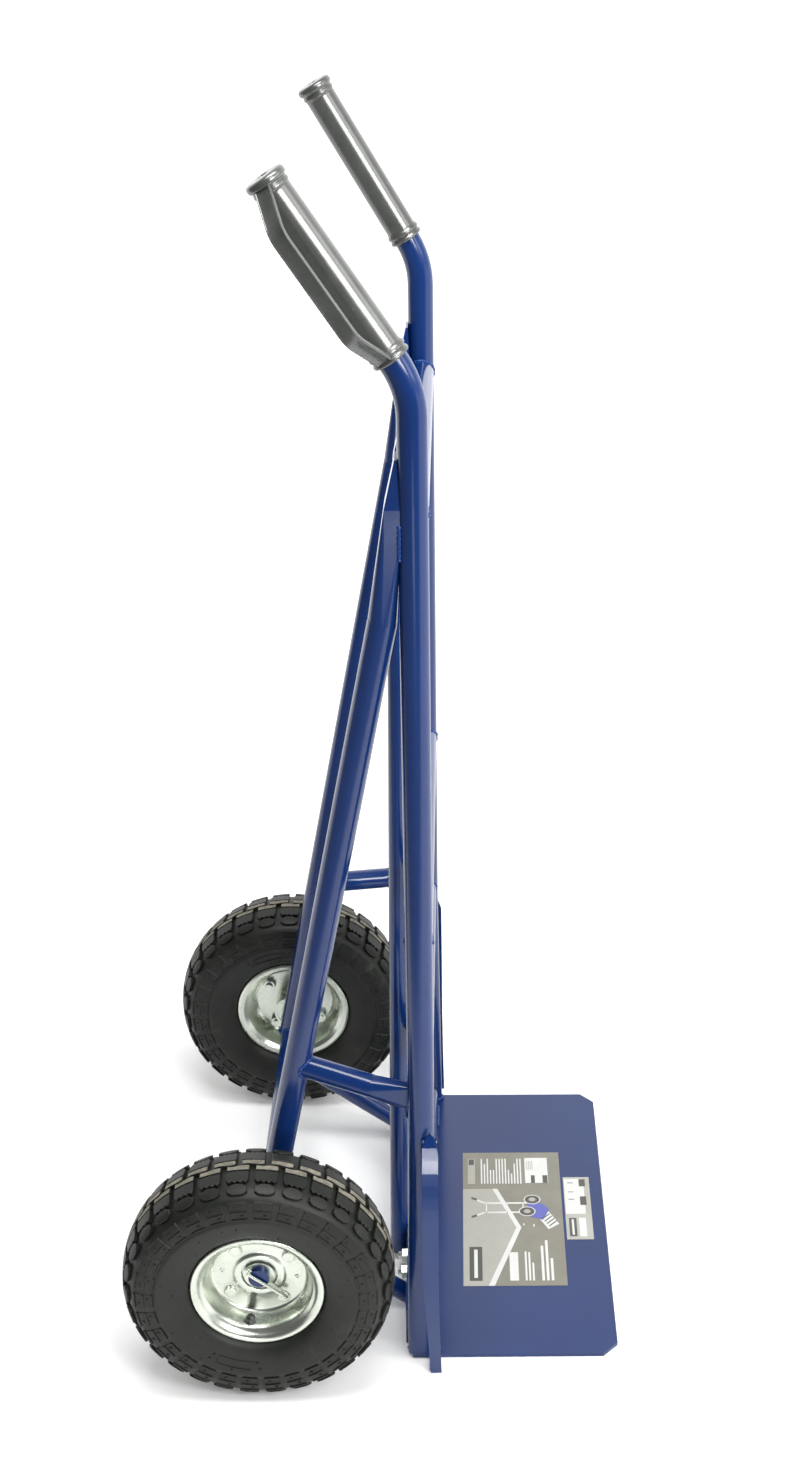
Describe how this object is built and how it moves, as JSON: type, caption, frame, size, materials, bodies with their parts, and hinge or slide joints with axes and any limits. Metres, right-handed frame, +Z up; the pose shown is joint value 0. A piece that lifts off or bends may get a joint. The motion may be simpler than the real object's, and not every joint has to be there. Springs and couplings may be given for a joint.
{
  "type": "hand truck",
  "caption": "Upright two-wheeled hand truck with a flat toe plate, a welded tube frame, air-filled wheels on a fixed axle, and guarded hand grips.",
  "frame": {"origin": "on the floor, in the middle of the bounding box", "axes": "+X forward, the side of the toe plate; +Y the truck's left; +Z up"},
  "size_m": [0.481, 0.5452, 1.1693],
  "materials": {
    "blue_paint": "gloss powder coat",
    "zinc": "zinc plated, semi gloss",
    "tyre_rubber": "matt, dusty tread",
    "black_rubber": "matt",
    "grip_plastic": "satin, scuffed",
    "grey_label": "satin film",
    "white_label": "satin film"
  },
  "bodies": {
    "frame": {"upright_right": "blue_paint", "upright_left": "blue_paint", "crossbar_top": "blue_paint", "crossbar_middle": "blue_paint", "crossbar_lower": "blue_paint", "crossbar_bottom": "blue_paint", "inner_bar_right": "blue_paint", "inner_bar_left": "blue_paint", "strut_right": "blue_paint", "strut_left": "blue_paint", "brace_right": "blue_paint", "brace_left": "blue_paint", "stay_right": "blue_paint", "stay_left": "blue_paint", "toe_plate": "blue_paint", "wheel_guard_right": "blue_paint", "wheel_guard_left": "blue_paint", "toe_bolts": "zinc", "toe_nuts": "zinc", "axle": "blue_paint", "axle_spacers": "zinc", "axle_washers": "zinc", "bearing_cones": "zinc", "split_pin_right": "zinc", "split_pin_left": "zinc", "grip_right": "grip_plastic", "grip_left": "grip_plastic", "product_label": "grey_label", "code_label": "white_label"},
    "wheel_right": {"tyre_right": "tyre_rubber", "inner_tube_right": "black_rubber", "rim_outer_right": "zinc", "rim_inner_right": "zinc", "rim_bolts_right": "zinc", "rim_nuts_right": "zinc", "hub_right": "zinc", "bearings_right": "zinc", "valve_right": "black_rubber", "valve_cap_right": "black_rubber"},
    "wheel_left": {"tyre_left": "tyre_rubber", "inner_tube_left": "black_rubber", "rim_outer_left": "zinc", "rim_inner_left": "zinc", "rim_bolts_left": "zinc", "rim_nuts_left": "zinc", "hub_left": "zinc", "bearings_left": "zinc", "valve_left": "black_rubber", "valve_cap_left": "black_rubber"}
  },
  "joints": [
    {"name": "wheel_right_spin", "type": "hinge", "parent": "frame", "child": "wheel_right", "pos_m": [-0.1105, -0.232, 0.13], "axis": [0, 1, 0], "continuous": true},
    {"name": "wheel_left_spin", "type": "hinge", "parent": "frame", "child": "wheel_left", "pos_m": [-0.1105, 0.232, 0.13], "axis": [0, 1, 0], "continuous": true}
  ]
}
